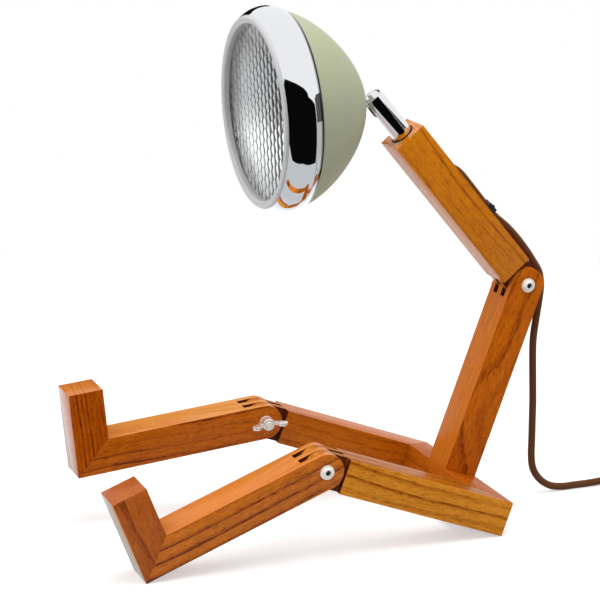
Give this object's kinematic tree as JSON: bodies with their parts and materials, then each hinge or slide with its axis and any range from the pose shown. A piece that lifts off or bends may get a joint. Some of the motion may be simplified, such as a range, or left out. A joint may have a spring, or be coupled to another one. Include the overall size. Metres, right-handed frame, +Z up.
{
  "type": "desk lamp",
  "caption": "Desk lamp shaped as a sitting jointed figure: lacquered timber bars with bolted finger joints, chrome neck and a round green headlamp with patterned glass.",
  "frame": {"origin": "on the table, under the middle of the lamp without its cord", "axes": "+Z up; the lamp faces -Y, with its knees in front and its seat behind; +X is the lamp's own left, across its width"},
  "size_m": [0.2539, 0.5302, 0.3844],
  "materials": {
    "timber": "clear satin lacquer on reddish brown hardwood",
    "dowel": "plain turned beech",
    "plated_steel": "bright nickel plated steel",
    "chrome": "polished chrome plate",
    "satin_ring": "satin chromed ring",
    "green_paint": "matt sage green powder coat",
    "clear_glass": "clear pressed glass with elongated hexagon lenses inside",
    "frosted_glass": "frosted bulb glass",
    "reflector": "bright anodised aluminium bowl",
    "cap_brass": "plain brass screw shell",
    "holder": "heat resistant moulding",
    "black_rubber": "black silicone",
    "bearing_plastic": "black acetal",
    "lead_sheath": "dark plastic sheath",
    "cord_textile": "brown braided textile over a round cord",
    "black_plastic": "satin black moulding"
  },
  "bodies": {
    "base": {"hip_bar": "timber", "thigh_left": "timber", "thigh_right": "timber", "torso": "timber", "hip_dowels": "dowel", "torso_dowels": "dowel", "waist_bolt": "plated_steel", "waist_washers": "plated_steel", "cord_lower": "cord_textile", "cord_link": "cord_textile", "cord_coil": "cord_textile", "cord_tail": "cord_textile", "coil_tie": "black_plastic", "switch_base": "black_plastic", "switch_cover": "black_plastic", "plug_body": "black_plastic", "plug_pins": "plated_steel"},
    "lower_leg_left": {"shin_left": "timber", "foot_left": "timber", "foot_dowels_left": "dowel", "knee_bolt_left": "plated_steel", "knee_washers_left": "plated_steel"},
    "lower_leg_right": {"shin_right": "timber", "foot_right": "timber", "foot_dowels_right": "dowel", "knee_bolt_right": "plated_steel", "knee_washers_right": "plated_steel"},
    "upper_body": {"chest": "timber", "neck_bush": "bearing_plastic", "chest_lead": "lead_sheath", "cord_clip": "black_plastic", "clip_nail": "plated_steel", "cord_upper": "cord_textile"},
    "neck": {"neck_tube": "chrome", "ball_seat": "bearing_plastic", "neck_lead": "lead_sheath"},
    "head": {"ball_stud": "chrome", "stud_washers": "plated_steel", "stud_nut": "plated_steel", "shade": "green_paint", "bezel": "chrome", "bead_ring": "satin_ring", "glass": "clear_glass", "glass_gasket": "black_rubber", "reflector": "reflector", "reflector_clip": "plated_steel", "lampholder": "holder", "bulb_cap": "cap_brass", "bulb_glass": "frosted_glass", "head_lead": "lead_sheath"},
    "nut_knee_left": {"knee_nut_left": "plated_steel"},
    "nut_knee_right": {"knee_nut_right": "plated_steel"},
    "nut_waist": {"waist_nut": "plated_steel"},
    "rocker": {"switch_rocker": "black_plastic"}
  },
  "joints": [
    {"name": "knee_left", "type": "hinge", "parent": "base", "child": "lower_leg_left", "pos_m": [0.063, -0.02061, 0.0653], "axis": [1, 0, 0], "range_deg": [-131, 48]},
    {"name": "knee_right", "type": "hinge", "parent": "base", "child": "lower_leg_right", "pos_m": [-0.063, -0.02061, 0.0653], "axis": [1, 0, 0], "range_deg": [-116, 63]},
    {"name": "waist", "type": "hinge", "parent": "base", "child": "upper_body", "pos_m": [0, 0.16405, 0.17002], "axis": [1, 0, 0], "range_deg": [-150, 30], "deforming": ["cord_upper", "cord_lower"]},
    {"name": "neck_swivel", "type": "hinge", "parent": "upper_body", "child": "neck", "pos_m": [0, 0.06736, 0.28731], "axis": [0, -0.6361, 0.7716], "range_deg": [-150, 150]},
    {"name": "head_tilt", "type": "hinge", "parent": "neck", "child": "head", "pos_m": [0, 0.04574, 0.31355], "axis": [1, 0, 0], "range_deg": [-45, 35]},
    {"name": "knee_nut_left_turn", "type": "hinge", "parent": "lower_leg_left", "child": "nut_knee_left", "pos_m": [0.04, -0.02061, 0.0653], "axis": [1, 0, 0], "continuous": true},
    {"name": "knee_nut_right_turn", "type": "hinge", "parent": "lower_leg_right", "child": "nut_knee_right", "pos_m": [-0.04, -0.02061, 0.0653], "axis": [1, 0, 0], "continuous": true},
    {"name": "waist_nut_turn", "type": "hinge", "parent": "base", "child": "nut_waist", "pos_m": [-0.022, 0.16405, 0.17002], "axis": [1, 0, 0], "continuous": true},
    {"name": "rocker_switch", "type": "hinge", "parent": "base", "child": "rocker", "pos_m": [0, 0.291, 0.013], "axis": [1, 0, 0], "range_deg": [-14, 0]}
  ]
}
